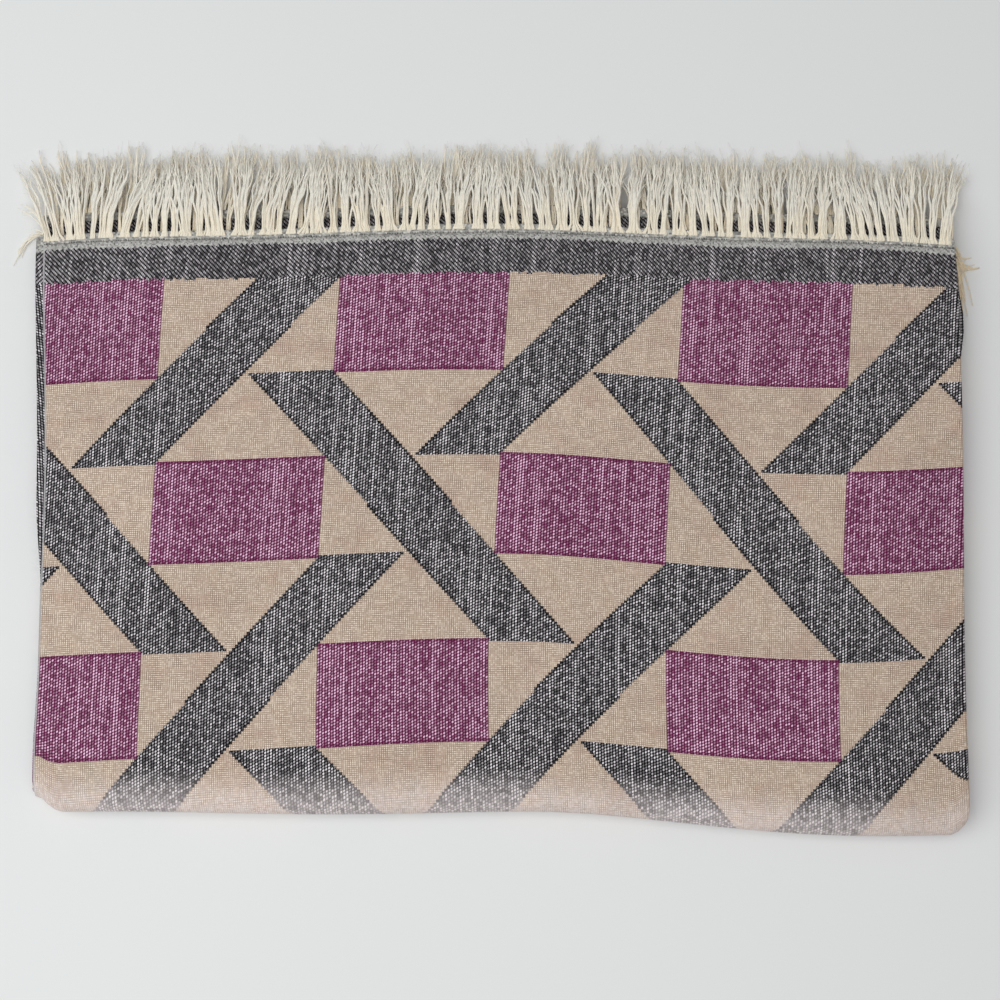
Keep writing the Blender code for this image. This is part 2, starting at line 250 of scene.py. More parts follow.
@dataclass(frozen=True)
class FoldPlan:
    """The folds of the throw, laid out level: in half across its width, in quarters along its length."""

    cloth_length: float = 1.61
    sheet: float = 0.0022
    layer_pitch: float = 0.0035
    face_width: float = 0.6515
    face_length: float = 0.404
    under_end_reach: float = 0.017
    left_slip: float = 0.006
    heading: float = 0.0065
    part_gap: float = 0.0003
    settling: Settling = field(default_factory=Settling)

    @property
    def leaf_offset(self) -> float:
        """Half the distance between the two leaves of a run."""
        return self.layer_pitch / 2

    @property
    def run_half(self) -> float:
        """Half the thickness of a run of two leaves."""
        return self.leaf_offset + self.sheet / 2

    @property
    def left_x(self) -> float:
        """The left edge of the face."""
        return -self.face_width / 2

    @property
    def fold_x(self) -> float:
        """Where the leaves begin to turn at the fold across the width."""
        return self.face_width / 2 - self.run_half

    @property
    def first_end_y(self) -> float:
        """Where the cloth's first end lies."""
        return self.face_length / 2

    @property
    def second_end_y(self) -> float:
        """Where the cloth's second end lies."""
        return self.first_end_y + self.under_end_reach

    def run_height(self, run: str) -> float:
        """The height of the middle of a run: d lies lowest, then c, b and a."""
        return self.run_half + "dcba".index(run) * 2 * self.layer_pitch

    def stations(self) -> Stations:
        """The path along the cloth: runs a, d, c and b with half circles between them.

        A run is a straight line at one height. A fold is a half circle, and the normal turns with it. The
        length of cloth is the sum of the distances between the places.

        Returns:
            The places from the first fringed end to the second.
        """
        big, small = 3 * self.layer_pitch, self.layer_pitch
        fold_y = self.first_end_y - self.face_length + big + self.run_half
        folds = math.pi * (big + 2 * small)
        ends = (self.first_end_y - fold_y) + (self.second_end_y - fold_y)
        turn_y = fold_y + (self.cloth_length - folds - ends) / 2
        parts = (
            self._run("a", self.first_end_y, fold_y, 1.0, 84),
            self._fold(fold_y, "d", "a", big, 90, 180, 18, 1.0),
            self._run("d", fold_y, turn_y, -1.0, 22),
            self._fold(turn_y, "d", "c", small, -90, 180, 9, 1.0),
            self._run("c", turn_y, fold_y, 1.0, 22),
            self._fold(fold_y, "c", "b", small, -90, -180, 9, -1.0),
            self._run("b", fold_y, self.second_end_y, -1.0, 32),
        )
        y, z, normal_y, normal_z = np.concatenate(parts).T
        steps = np.hypot(np.diff(y), np.diff(z))
        return Stations(y, z, normal_y, normal_z, np.concatenate(([0.0], np.cumsum(steps))))

    def _run(self, run: str, start: float, end: float, normal_z: float, steps: int) -> np.ndarray:
        """Places along one level run, closer together near its ends."""
        share = np.linspace(0.0, 1.0, steps + 1)
        y = start + (end - start) * (0.65 * share + 0.35 * ease(share))
        flat = np.zeros_like(y)
        return np.stack((y, flat + self.run_height(run), flat, flat + normal_z), axis=1)

    def _fold(
        self,
        y: float,
        low: str,
        high: str,
        radius: float,
        start: float,
        sweep: float,
        steps: int,
        out: float,
    ) -> np.ndarray:
        """Places round the half circle between two runs, without the runs' own ends."""
        angle = np.radians(start + sweep * np.arange(1, steps) / steps)
        middle = (self.run_height(low) + self.run_height(high)) / 2
        across, up = np.cos(angle), np.sin(angle)
        return np.stack((y + radius * across, middle + radius * up, out * across, out * up), axis=1)

    def surface(self, at: Stations, side: float, face: np.ndarray, back: np.ndarray) -> np.ndarray:
        """One surface of the folded sheet on a grid of stations by places across.

        Across the width the sheet goes along the face leaf, round a half circle and back along the back
        leaf. Each point stands off the path by its leaf's offset, and off the sheet's middle by half its
        thickness.

        Args:
            at: The places along the cloth.
            side: 1 for the outer surface and -1 for the inner one.
            face: Places across the face leaf, from 0 at its edge to 1 at the fold.
            back: The same for the back leaf.

        Returns:
            An array of stations by places across by five: x, y, z, and the place on the flat cloth across
            and along it.
        """
        turn = np.linspace(math.pi / 2, -math.pi / 2, 9)[1:-1]
        one = np.ones((len(at.y), 1))
        on_top = at.z > self.run_height("b") + self.layer_pitch
        slip = np.where(on_top, self.left_slip * ease((at.y + 0.06) / 0.08), 0.3 * self.left_slip)
        left = (self.left_x - slip)[:, None]
        face_x = self.left_x + (self.fold_x - self.left_x) * face * one
        turn_x = self.fold_x + self.leaf_offset * np.cos(turn) * one
        back_x = left + (self.fold_x - left) * back[::-1]
        turned = self.fold_x + self.leaf_offset * (math.pi / 2 - turn) * one
        past_fold = 2 * self.fold_x + self.leaf_offset * math.pi - back_x
        x = np.concatenate((face_x, turn_x, back_x), axis=1)
        across = np.concatenate((face_x, turned, past_fold), axis=1)
        offset = np.concatenate((np.ones(len(face)), np.sin(turn), -np.ones(len(back))))
        normal_x = np.concatenate((np.zeros(len(face)), np.cos(turn), np.zeros(len(back))))
        out = side * self.sheet / 2
        off_path = offset * (self.leaf_offset + out) * one
        y = at.y[:, None] + off_path * at.normal_y[:, None]
        z = at.z[:, None] + off_path * at.normal_z[:, None]
        return np.stack((x + out * normal_x, y, z, across, at.woven[:, None] * np.ones_like(x)), axis=2)


@dataclass(frozen=True)
class Trellis:
    """Where the woven figure lies on the cloth: repeats across and rows of blocks along, a little askew."""

    straight: float = 0.42
    half_width: float = 0.33
    repeats_past: float = 4.10
    rows_past: float = 7.96

    def repeats(self, across: np.ndarray, along: np.ndarray) -> tuple[np.ndarray, np.ndarray]:
        """The figure's own coordinates at places on the flat cloth.

        Repeats across and rows along are low polynomials of the two places, because the cloth is a little
        skewed and stretched. Past the visible part of the top run they go on in a straight line.

        Args:
            across: Places across the cloth from its middle line, in metres.
            along: Lengths of cloth from the first end, in metres.

        Returns:
            Repeats across and rows along.
        """
        x = np.clip(across, -self.half_width, self.half_width)
        v = np.minimum(along, self.straight)
        over = across - x
        past = along - v
        repeats = 0.2162 + 4.0973 * x + 0.4238 * v - 0.0236 * x * v - 0.6478 * v**2 - 0.0711 * x**2
        skew = -0.218 * x - 0.6336 * x**2 + 2.1276 * x**3 + 6.3939 * x**4
        rows = -0.529 + 8.2326 * v - 0.9315 * v**2 + skew + 0.7895 * x * v - 0.8362 * x**2 * v
        return repeats + self.repeats_past * over, rows + self.rows_past * past


class MeshMaker:
    """Puts arrays of points and faces into a mesh object."""

    @staticmethod
    def build(
        name: str,
        points: np.ndarray,
        polygons: list[np.ndarray],
        maps: dict[str, np.ndarray],
        materials: list[bpy.types.Material],
        slots: np.ndarray | None = None,
    ) -> bpy.types.Object:
        """Makes one object at the origin.

        Args:
            name: The piece's name.
            points: Vertices by three.
            polygons: Arrays of faces by corners, one array for each number of corners.
            maps: UV maps by name, each vertices by two.
            materials: The materials of the piece.
            slots: Which material each face takes, or None where all take the first.

        Returns:
            The new object.
        """
        mesh = bpy.data.meshes.new(name)
        corners = np.concatenate([part.ravel() for part in polygons]).astype(np.int32)
        totals = np.concatenate([np.full(len(part), part.shape[1]) for part in polygons])
        starts = np.concatenate(([0], np.cumsum(totals)[:-1]))
        mesh.vertices.add(len(points))
        mesh.vertices.foreach_set("co", points.astype(np.float32).ravel())
        mesh.loops.add(len(corners))
        mesh.loops.foreach_set("vertex_index", corners)
        mesh.polygons.add(len(totals))
        mesh.polygons.foreach_set("loop_start", starts.astype(np.int32))
        if slots is not None:
            mesh.polygons.foreach_set("material_index", slots.astype(np.int32))
        mesh.update(calc_edges=True)
        for map_name, values in maps.items():
            layer = mesh.uv_layers.new(name=map_name)
            layer.uv.foreach_set("vector", values[corners].astype(np.float32).ravel())
        mesh.validate()
        mesh.shade_smooth()
        for material in materials:
            mesh.materials.append(material)
        item = bpy.data.objects.new(name, mesh)
        bpy.context.scene.collection.objects.link(item)
        return item


class Signal:
    """One number that varies over a surface: a socket with operators, each of which adds a Math node."""

    def __init__(self, graph: "Graph", socket: bpy.types.NodeSocket) -> None:
        """Keeps the graph that new nodes go into and the socket that is wrapped."""
        self.graph = graph
        self.socket = socket

    def _math(self, operation: str, *values: "Signal | float") -> "Signal":
        """A Math node of that operation on these values."""
        return self.graph.node("ShaderNodeMath", {"operation": operation}, dict(enumerate(values)))

    def __add__(self, other: "Signal | float") -> "Signal":
        """The sum."""
        return self._math("ADD", self, other)

    def __radd__(self, other: float) -> "Signal":
        """The sum, with a number first."""
        return self._math("ADD", other, self)

    def __sub__(self, other: "Signal | float") -> "Signal":
        """The difference."""
        return self._math("SUBTRACT", self, other)

    def __rsub__(self, other: float) -> "Signal":
        """A number minus this."""
        return self._math("SUBTRACT", other, self)

    def __mul__(self, other: "Signal | float") -> "Signal":
        """The product."""
        return self._math("MULTIPLY", self, other)

    def __rmul__(self, other: float) -> "Signal":
        """The product, with a number first."""
        return self._math("MULTIPLY", other, self)

    def __truediv__(self, other: "Signal | float") -> "Signal":
        """The quotient."""
        return self._math("DIVIDE", self, other)

    def floor(self) -> "Signal":
        """The whole number below."""
        return self._math("FLOOR", self)

    def fraction(self) -> "Signal":
        """The part above the whole number below."""
        return self._math("FRACT", self)

    def size(self) -> "Signal":
        """The value without its sign."""
        return self._math("ABSOLUTE", self)

    def power(self, exponent: float) -> "Signal":
        """The value to a power."""
        return self._math("POWER", self, exponent)

    def below(self, limit: "Signal | float") -> "Signal":
        """1 where this is less than the limit, and 0 elsewhere."""
        return self._math("LESS_THAN", self, limit)

    def above(self, limit: "Signal | float") -> "Signal":
        """1 where this is more than the limit, and 0 elsewhere."""
        return self._math("GREATER_THAN", self, limit)

    def least(self, other: "Signal | float") -> "Signal":
        """The smaller of the two."""
        return self._math("MINIMUM", self, other)

    def most(self, other: "Signal | float") -> "Signal":
        """The larger of the two."""
        return self._math("MAXIMUM", self, other)

    def off_whole(self) -> "Signal":
        """The distance to the nearest whole number."""
        return ((self + 0.5).fraction() - 0.5).size()

    def ramp(self, start: float, end: float) -> "Signal":
        """A smooth step from 0 at start to 1 at end, which may be the smaller one."""
        low, high = sorted((start, end))
        values = {"Value": self, "From Min": low, "From Max": high}
        values |= {"To Min": float(start > end), "To Max": float(start <= end)}
        return self.graph.node("ShaderNodeMapRange", {"interpolation_type": "SMOOTHSTEP"}, values)


Colour = tuple[float, float, float]


class Graph:
    """The node tree of one material, with the few ways of adding to it that these finishes use."""

    def __init__(self, name: str) -> None:
        """Starts a material with a bare Principled shader."""
        self.material = bpy.data.materials.new(name)
        self.material.use_nodes = True
        self.tree = self.material.node_tree
        self.shader = self.tree.nodes["Principled BSDF"]

    def node(self, kind: str, settings: dict, values: dict, output: int | str = 0) -> Signal:
        """Adds a node.

        Args:
            kind: The node's type.
            settings: Its own properties, set first.
            values: Its sockets by name or number, each a Signal, a number or a colour.
            output: Which output to wrap.

        Returns:
            The wrapped output.
        """
        made = self.tree.nodes.new(kind)
        for key, value in settings.items():
            setattr(made, key, value)
        for key, value in values.items():
            self.put(made.inputs[key], value)
        return Signal(self, made.outputs[output])

    def put(self, socket: bpy.types.NodeSocket, value: "Signal | float | Colour") -> None:
        """Links a Signal to a socket, or sets the socket to a number or colour."""
        if isinstance(value, Signal):
            self.tree.links.new(value.socket, socket)
        elif isinstance(value, tuple) and len(value) == 3 and socket.type == "RGBA":
            socket.default_value = (*value, 1.0)
        else:
            socket.default_value = value

    def map_parts(self, name: str) -> tuple[Signal, Signal]:
        """The two parts of a UV map."""
        place = self.node("ShaderNodeUVMap", {"uv_map": name}, {})
        return tuple(self.node("ShaderNodeSeparateXYZ", {}, {0: place}, part) for part in (0, 1))

    def point(self, x: "Signal | float", y: "Signal | float", z: "Signal | float" = 0.0) -> Signal:
        """A vector of three parts."""
        return self.node("ShaderNodeCombineXYZ", {}, {0: x, 1: y, 2: z})

    def chance(self, x: "Signal | float", y: "Signal | float", seed: float = 0.0) -> Signal:
        """An even random number from 0 to 1 for each place."""
        place = self.point(x, y, seed)
        return self.node("ShaderNodeTexWhiteNoise", {"noise_dimensions": "3D"}, {"Vector": place})

    def cloud(self, place: Signal, scale: float, detail: float = 2.0) -> Signal:
        """Smooth noise from 0 to 1."""
        values = {"Vector": place, "Scale": scale, "Detail": detail, "Roughness": 0.55}
        return self.node("ShaderNodeTexNoise", {"noise_dimensions": "3D"}, values)

    def mix(self, share: "Signal | float", first: "Signal | Colour", second: "Signal | Colour") -> Signal:
        """A colour between two, by a share from 0 to 1."""
        return self.node("ShaderNodeMix", {"data_type": "RGBA"}, {0: share, 6: first, 7: second}, 2)

    def shade(self, colour: Signal, amount: Signal) -> Signal:
        """A colour scaled by a number, with Vector Math."""
        return self.node("ShaderNodeVectorMath", {"operation": "SCALE"}, {0: colour, "Scale": amount})

    def relief(self, height: Signal, depth: float, strength: float) -> None:
        """Feeds a Bump node, which feeds the shader's normal."""
        values = {"Strength": strength, "Distance": depth, "Height": height}
        self.put(self.shader.inputs["Normal"], self.node("ShaderNodeBump", {}, values))


def tone(red: int, green: int, blue: int) -> Colour:
    """A colour of a picture, from 0 to 255 in each part, as the light that it stands for."""
    parts = np.array((red, green, blue)) / 255.0
    light = np.where(parts <= 0.04045, parts / 12.92, ((parts + 0.055) / 1.055) ** 2.4)
    return tuple(float(part) for part in light)


@dataclass(frozen=True)
class YarnPair:
    """The two yarns that show in one ground of the weave: the one that covers and the one that dots it."""

    cover: Colour
    dot: Colour


@dataclass(frozen=True)
class WeaveFinish:
    """The jacquard weave: tan ground, charcoal bars and borders, purple blocks, all dotted by pale yarn."""

    reverse: bool = False
    cloth_length: float = 1.61
    repeat_width: float = 0.2449
    row_length: float = 0.1304
    columns: float = 122.0
    picks: float = 62.0
    border: float = 0.0295
    face_edge: float = -0.32575
    # width of the pale line at the face's left edge: a painted highlight where the top layer rolls over
    edge_highlight_width: float = 0.0012
    back_selvedge: float = 0.955
    strip_least: float = 0.0008
    strip_sway: float = 0.0054
    strip_tooth: float = 0.0018
    # where along the cloth the pale fuzz and painted highlight of the big fold's rim rise and fall
    fuzz_and_highlight_rises: tuple[float, float] = (0.370, 0.408)
    fuzz_and_highlight_falls: tuple[float, float] = (0.45, 0.42)
    bar_half_width: float = 0.123
    bar_cut: float = 0.25
    block_half_width: float = 0.25
    block_half_height: float = 0.27
    charcoal: YarnPair = YarnPair(tone(6, 4, 8), tone(250, 243, 246))
    purple: YarnPair = YarnPair(tone(96, 14, 62), tone(255, 212, 238))
    tan: YarnPair = YarnPair(tone(214, 191, 171), tone(78, 54, 42))
    slub: Colour = tone(252, 232, 212)
    blush: Colour = tone(206, 170, 154)
    # painted highlight colour for the face's rolled left edge
    edge_highlight: Colour = tone(190, 188, 188)
    # pale fuzz with a painted highlight on the big fold's rim
    fuzz_and_highlight: Colour = tone(250, 236, 234)
    pale: Colour = tone(212, 210, 204)

    def dress(self) -> bpy.types.Material:
        """Makes the material.

        The figure's coordinates are cut into cells, one for each crossing of the weave. The figure is looked
        up at the middle of a cell, so its slanted edges go in steps. In each dark or purple cell sits a dot,
        the yarn that comes through there. Its strength varies by cell and by column, and it is weaker along
        the rims of the bars and blocks. The end borders have a twill's slanted dashes in place of the dots.

        Returns:
            The finished material.
        """
        graph = Graph("woven_reverse" if self.reverse else "woven_face")
        repeat, row = graph.map_parts("figure")
        across, along = graph.map_parts("cloth")
        column_at, pick_at = repeat * self.columns, row * self.picks
        column = column_at.floor()
        cut_repeat = (column + 0.5) / self.columns
        cut_row = (pick_at.floor() + 0.5) / self.picks
        ragged = graph.chance(column, 3.0) * 0.0024 - 0.0012
        in_border = (along.least(self.cloth_length - along) + ragged).below(self.border)
        bars, bar_depth = self._bars(cut_repeat, cut_row)
        block, block_depth = self._blocks(cut_repeat, cut_row)
        dark = bars.most(in_border)
        if self.reverse:
            dark = (1.0 - bars).most(in_border).most(across.above(self.back_selvedge))
            block = block * 0.0
        block = block * (1.0 - dark)
        dots, wild = self._dots(graph, column_at, pick_at)
        twill, twill_wild = self._twill(graph, column_at, pick_at)
        dots = dots * (1.0 - in_border) + twill * in_border
        wild = wild * (1.0 - in_border) + twill_wild * in_border
        streaks = graph.chance(column, 5.0).power(4.0)
        slub = graph.cloud(graph.point(across * 240.0, along * 26.0), 1.0)
        strength = dots * (0.16 + 0.84 * wild.power(1.5) + 0.8 * streaks * slub.ramp(0.35, 0.65))
        rim = bar_depth.ramp(0.0022, 0.0010) * bars * 0.8
        rim = rim.most(block_depth.ramp(0.0018, 0.0008) * block * 0.6)
        strength = (strength * (1.0 - rim * (1.0 - in_border))).least(1.0)
        dark_cloth = graph.mix(strength, self.charcoal.cover, self.charcoal.dot)
        purple_cloth = graph.mix((strength * 1.15).least(1.0), self.purple.cover, self.purple.dot)
        tan_cloth, tan_height = self._tan(graph, across, along, column_at, pick_at)
        colour = graph.mix(block, tan_cloth, purple_cloth)
        colour = graph.mix(dark, colour, dark_cloth)
        colour = self._edge_marks_and_patches(graph, colour, across, along, column_at, pick_at, wild)
        graph.put(graph.shader.inputs["Base Color"], colour)
        figured = dark.most(block)
        graph.relief(figured * dots + (1.0 - figured) * tan_height, 0.00045, 0.5)
        graph.shader.inputs["Roughness"].default_value = 0.92
        graph.shader.inputs["Specular IOR Level"].default_value = 0.06
        graph.shader.inputs["Sheen Weight"].default_value = 0.05
        graph.shader.inputs["Sheen Roughness"].default_value = 0.55
        return graph.material

    def _edge_marks_and_patches(
        self,
        graph: Graph,
        colour: Signal,
        across: Signal,
        along: Signal,
        column_at: Signal,
        pick_at: Signal,
        wild: Signal,
    ) -> Signal:
        """Adds a pale line at the face's edge (a painted highlight), the toothed strip at the end, pale fuzz
        with a painted highlight along the big fold's rim, and uneven patches.
        """
        # a pale line along the face's left edge: painted highlight where the top layer rolls over the edge
        at_edge = (across - self.face_edge).below(self.edge_highlight_width)
        colour = graph.mix(at_edge * 0.8, colour, self.edge_highlight)
        sway = graph.cloud(graph.point(across * 9.0, 0.0), 1.0)
        tooth = (column_at * 0.5).off_whole() * 2.0
        strip = self.strip_least + self.strip_sway * sway + self.strip_tooth * tooth
        strip = (strip - along).above(0.0)
        mottle = graph.chance((column_at * 2.0).floor(), (pick_at * 2.0).floor(), 9.0)
        colour = graph.mix(strip * (0.25 + 0.70 * mottle), colour, self.pale)
        # pale fuzz with a painted highlight along the rim of the big fold, where the cloth turns towards the
        # light
        fuzz_and_highlight_share = along.ramp(*self.fuzz_and_highlight_rises) * along.ramp(*self.fuzz_and_highlight_falls) * (0.36 + 0.34 * wild)
        colour = graph.mix(fuzz_and_highlight_share, colour, self.fuzz_and_highlight)
        patches = graph.cloud(graph.point(across, along), 9.0, 3.0)
        return graph.shade(colour, 0.88 + 0.24 * patches)

    def _bars(self, repeat: Signal, row: Signal) -> tuple[Signal, Signal]:
        """The slanted bars, each passing under the bars that cross it, and the depth inside their edges."""
        rising = (repeat + 0.5 * row - 0.5).off_whole()
        falling = (repeat - 0.5 * row - 0.5).off_whole()
        from_odd = (row * 0.5 - 0.5).off_whole() * 2.0
        from_even = (row * 0.5).off_whole() * 2.0
        rises = rising.below(self.bar_half_width) * from_odd.above(self.bar_cut)
        falls = falling.below(self.bar_half_width) * from_even.above(self.bar_cut) * row.above(0.0)
        depth = (self.bar_half_width - rising) * rises + (self.bar_half_width - falling) * falls
        return rises.most(falls), depth * self.repeat_width

    def _blocks(self, repeat: Signal, row: Signal) -> tuple[Signal, Signal]:
        """The blocks, half a repeat aside in each second row, and the depth inside their edges.

        The first row of blocks runs on up to the border.
        """
        nearest = (row + 0.5).floor()
        sideways = (repeat + nearest * 0.5).off_whole()
        upright = row.off_whole() * row.above(0.0)
        inside = sideways.below(self.block_half_width) * upright.below(self.block_half_height)
        side_depth = (self.block_half_width - sideways) * self.repeat_width
        end_depth = (self.block_half_height - upright) * self.row_length
        return inside, side_depth.least(end_depth)

    def _dots(self, graph: Graph, column_at: Signal, pick_at: Signal) -> tuple[Signal, Signal]:
        """Slanted dots, one in each cell, and their random strength.

        Each column is shifted along by a little less than half a cell from the one before, and by chance.
        """
        column = column_at.floor()
        shifted = pick_at + column * 0.46 + graph.chance(column, 8.0) * 0.3
        off_x = column_at.fraction() - 0.5
        off_y = shifted.fraction() - 0.5
        slant = off_x + off_y * 0.28
        distance = (slant * slant * 1.3 + off_y * off_y * 0.8).power(0.5)
        return distance.ramp(0.46, 0.22), graph.chance(column, shifted.floor(), 1.0)

    def _twill(self, graph: Graph, column_at: Signal, pick_at: Signal) -> tuple[Signal, Signal]:
        """The border's slanted lines of short dashes, on columns half as wide, and their random strength."""
        column = (column_at * 2.0).floor()
        shifted = pick_at * 0.68 - column * 0.32
        dash = (shifted.fraction() - 0.5).size().ramp(0.34, 0.16)
        return dash * 0.56, graph.chance(column, shifted.floor(), 4.0)

    def _tan(
        self, graph: Graph, across: Signal, along: Signal, column_at: Signal, pick_at: Signal
    ) -> tuple[Signal, Signal]:
        """The tan ground: a fine plain weave with uneven gaps between its threads, and paler slubs."""
        warp_at, weft_at = column_at * 1.36, pick_at * 1.55
        warp, weft = warp_at.floor(), weft_at.floor()
        down = graph.chance(warp, (weft / 5.0).floor(), 6.0)
        over = graph.chance((warp / 5.0).floor(), weft, 7.0)
        gaps_down = (warp_at.fraction() - 0.5).size().ramp(0.22, 0.46) * (0.25 + 0.75 * down)
        gaps_over = (weft_at.fraction() - 0.5).size().ramp(0.22, 0.46) * (0.25 + 0.75 * over)
        crossing = graph.chance(warp, weft, 2.0)
        gaps = gaps_down.most(gaps_over) * (0.70 + 0.30 * crossing)
        paler = (crossing * 0.6 + down * 0.2 + over * 0.2).ramp(0.25, 0.85)
        colour = graph.mix(paler, self.tan.cover, self.slub)
        patch = graph.cloud(graph.point(across * 30.0, along * 45.0, 2.0), 1.0)
        colour = graph.mix(patch.ramp(0.48, 0.72) * 0.35, colour, self.blush)
        return graph.mix(gaps, colour, self.tan.dot), 1.0 - gaps


@dataclass(frozen=True)
class HeadingFinish:
    """The woven heading above the border: pale grey, with dark ticks towards the border."""

    pale: Colour = tone(164, 162, 157)
    light: Colour = tone(226, 222, 212)
    dark: Colour = tone(44, 42, 48)

    def dress(self) -> bpy.types.Material:
        """Makes the material: upright ticks that fade out away from the cloth, over a close pale weave.

        Returns:
            The finished material.
        """
        graph = Graph("woven_heading")
        across, along = graph.map_parts("cloth")
        tick_at = across * 560.0
        reach = -0.0006 + 0.0016 * graph.chance(tick_at.floor(), 1.0)
        tick = tick_at.off_whole().ramp(0.38, 0.22) * (reach - along).ramp(-0.0008, 0.0008)
        pick = (along * 760.0).floor()
        crossing = graph.chance((across * 620.0 + pick * 0.5).floor(), pick)
        soft = graph.cloud(graph.point(across * 90.0, along * 300.0), 1.0)
        colour = graph.mix(crossing.ramp(0.45, 0.95) * 0.8, self.pale, self.light)
        colour = graph.mix(crossing.ramp(0.32, 0.0) * 0.45, colour, self.dark)
        colour = graph.mix(tick * 0.85, colour, self.dark)
        colour = graph.shade(colour, 0.82 + 0.36 * soft)
        graph.put(graph.shader.inputs["Base Color"], colour)
        graph.relief(crossing * 0.6 + (1.0 - tick), 0.0005, 0.6)
        graph.shader.inputs["Roughness"].default_value = 0.93
        graph.shader.inputs["Specular IOR Level"].default_value = 0.15
        return graph.material


@dataclass(frozen=True)
class YarnFinish:
    """Loose ivory yarn: yellower near its root, paler at its fuzzy tip, and golden where painted warm shade
    stands for the shaded lower rows and tufts.
    """

    root: Colour = tone(255, 243, 219)
    tip: Colour = tone(255, 249, 234)
    shade_golden: Colour = tone(250, 224, 178)

    def dress(self) -> bpy.types.Material:
        """Makes the material.

        The first map holds how far along its yarn a place is and how much painted warm shade the yarn takes.
        The second holds the turn round the yarn and the metres along it, from which the slanted lines of the
        plies come.

        Returns:
            The finished material.
        """
        graph = Graph("ivory_yarn")
        reach, shade_gold = graph.map_parts("yarn")
        turn, metres = graph.map_parts("twist")
        ply = (turn * 2.0 + metres * 160.0).off_whole()
        groove = ply.ramp(0.14, 0.04)
        hair = graph.cloud(graph.point(turn * 9.0, metres * 140.0, shade_gold * 40.0), 1.0)
        colour = graph.mix(reach.ramp(0.02, 0.60), self.root, self.tip)
        # golden tint: painted warm shade for yarns that lie low and in shade
        colour = graph.mix(shade_gold, colour, self.shade_golden)
        # the ply grooves are darkened a little: painted shade between the plies
        colour = graph.shade(colour, (0.97 + 0.06 * hair) * (1.0 - 0.12 * groove))
        graph.put(graph.shader.inputs["Base Color"], colour)
        graph.relief(hair * 0.5 + (1.0 - groove), 0.0001, 0.2)
        graph.shader.inputs["Roughness"].default_value = 0.95
        graph.shader.inputs["Specular IOR Level"].default_value = 0.10
        graph.shader.inputs["Sheen Weight"].default_value = 0.80
        graph.shader.inputs["Sheen Roughness"].default_value = 0.7
        return graph.material


@dataclass
class ThrowCloth:
    """The woven cloth in its folds, as one closed thin sheet."""

    plan: FoldPlan
    trellis: Trellis = field(default_factory=Trellis)
    face_columns: int = 90
    back_columns: int = 44
    name: str = "jacquard_cloth"

    def shares(self, steps: int) -> np.ndarray:
        """Places across a leaf, a little closer near its edges: a mix of even and cosine spacing."""
        even = np.linspace(0.0, 1.0, steps + 1)
        return 0.6 * even + 0.4 * (1.0 - np.cos(math.pi * even)) / 2

    def settled(self) -> tuple[np.ndarray, np.ndarray, np.ndarray]:
        """The sheet's loops of points, each the outer surface and then the inner one backwards.

        Returns:
            The settled points as stations by ring by three, and the two maps of the same shape by two.
        """
        at = self.plan.stations()
        face, back = self.shares(self.face_columns), self.shares(self.back_columns)
        outer, inner = [self.plan.surface(at, side, face, back) for side in (1.0, -1.0)]
        loops = np.concatenate((outer, inner[:, ::-1]), axis=1)
        cloth = loops[..., 3:5]
        figure = np.stack(self.trellis.repeats(cloth[..., 0], cloth[..., 1]), axis=-1)
        return self.plan.settling.place(loops[..., :3]), cloth, figure

    def shift(self) -> np.ndarray:
        """The move from the plan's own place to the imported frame: between the middles of the two boxes."""
        points = self.settled()[0].reshape(-1, 3)
        low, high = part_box("throw_cloth")
        wanted = (np.array(low) + np.array(high)) / 2
        moved = wanted - (points.min(axis=0) + points.max(axis=0)) / 2
        return np.array((moved[0], moved[1], 0.0))

    def build(self, shift: np.ndarray) -> bpy.types.Object:
        """Makes the cloth.

        Args:
            shift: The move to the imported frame.

        Returns:
            The cloth as one object.
        """
        points, cloth, figure = self.settled()
        count, ring = points.shape[:2]
        walls, ends = ring_faces(count, ring)
        half = ring // 2
        inner = np.arange(ring) >= half
        inner[ring - 1] = False
        slots = np.concatenate((np.tile(inner, count - 1), np.zeros(len(ends))))
        materials = [WeaveFinish().dress(), WeaveFinish(reverse=True).dress()]
        flat = {"cloth": cloth.reshape(-1, 2), "figure": figure.reshape(-1, 2)}
        placed = points.reshape(-1, 3) + shift
        return MeshMaker.build(self.name, placed, [walls, ends], flat, materials, slots)


def ring_faces(count: int, ring: int) -> tuple[np.ndarray, np.ndarray]:
    """Faces of the solid that a loop of points sweeps, and of its two ends.

    Args:
        count: How many loops there are.
        ring: How many points are in each, the outer surface's and then the inner one's backwards.

    Returns:
        The faces of the walls and those of both ends.
    """
    number = np.arange(count * ring).reshape(count, ring)
    after = np.roll(number, -1, axis=1)
    walls = np.stack((number[:-1], number[1:], after[1:], after[:-1]), axis=2).reshape(-1, 4)
    near = np.arange(ring // 2 - 1)
    far = ring - 1 - near
    first = np.stack((number[0, near], number[0, near + 1], number[0, far - 1], number[0, far]), axis=1)
    last = np.stack((number[-1, near], number[-1, far], number[-1, far - 1], number[-1, near + 1]), axis=1)
    return walls, np.concatenate((first, last))


@dataclass
class Strands:
    """Many yarns of one row, each value an array with one place for each yarn."""

    root_x: np.ndarray
    aside: np.ndarray
    base: np.ndarray
    fan: np.ndarray
    lean: np.ndarray
    drift: np.ndarray
    wave: np.ndarray
    phase: np.ndarray
    length: np.ndarray
    layer: np.ndarray
    lift: np.ndarray
    shade_gold: np.ndarray
    radius: np.ndarray

    def repeated(self, times: int) -> "Strands":
        """Each yarn repeated that many times in a row."""
        return Strands(*[np.repeat(getattr(self, part.name), times) for part in fields(self)])


@dataclass(frozen=True)
class FringeRow:
    """One row of yarn clumps, whose roots come out of one leaf of a heading."""

    leaf: Leaf
    clumps: int
    yarns: int
    length: float
    rest: float
    drop: tuple[float, float]
    shade_gold: float
    fibres: int
    seed: int


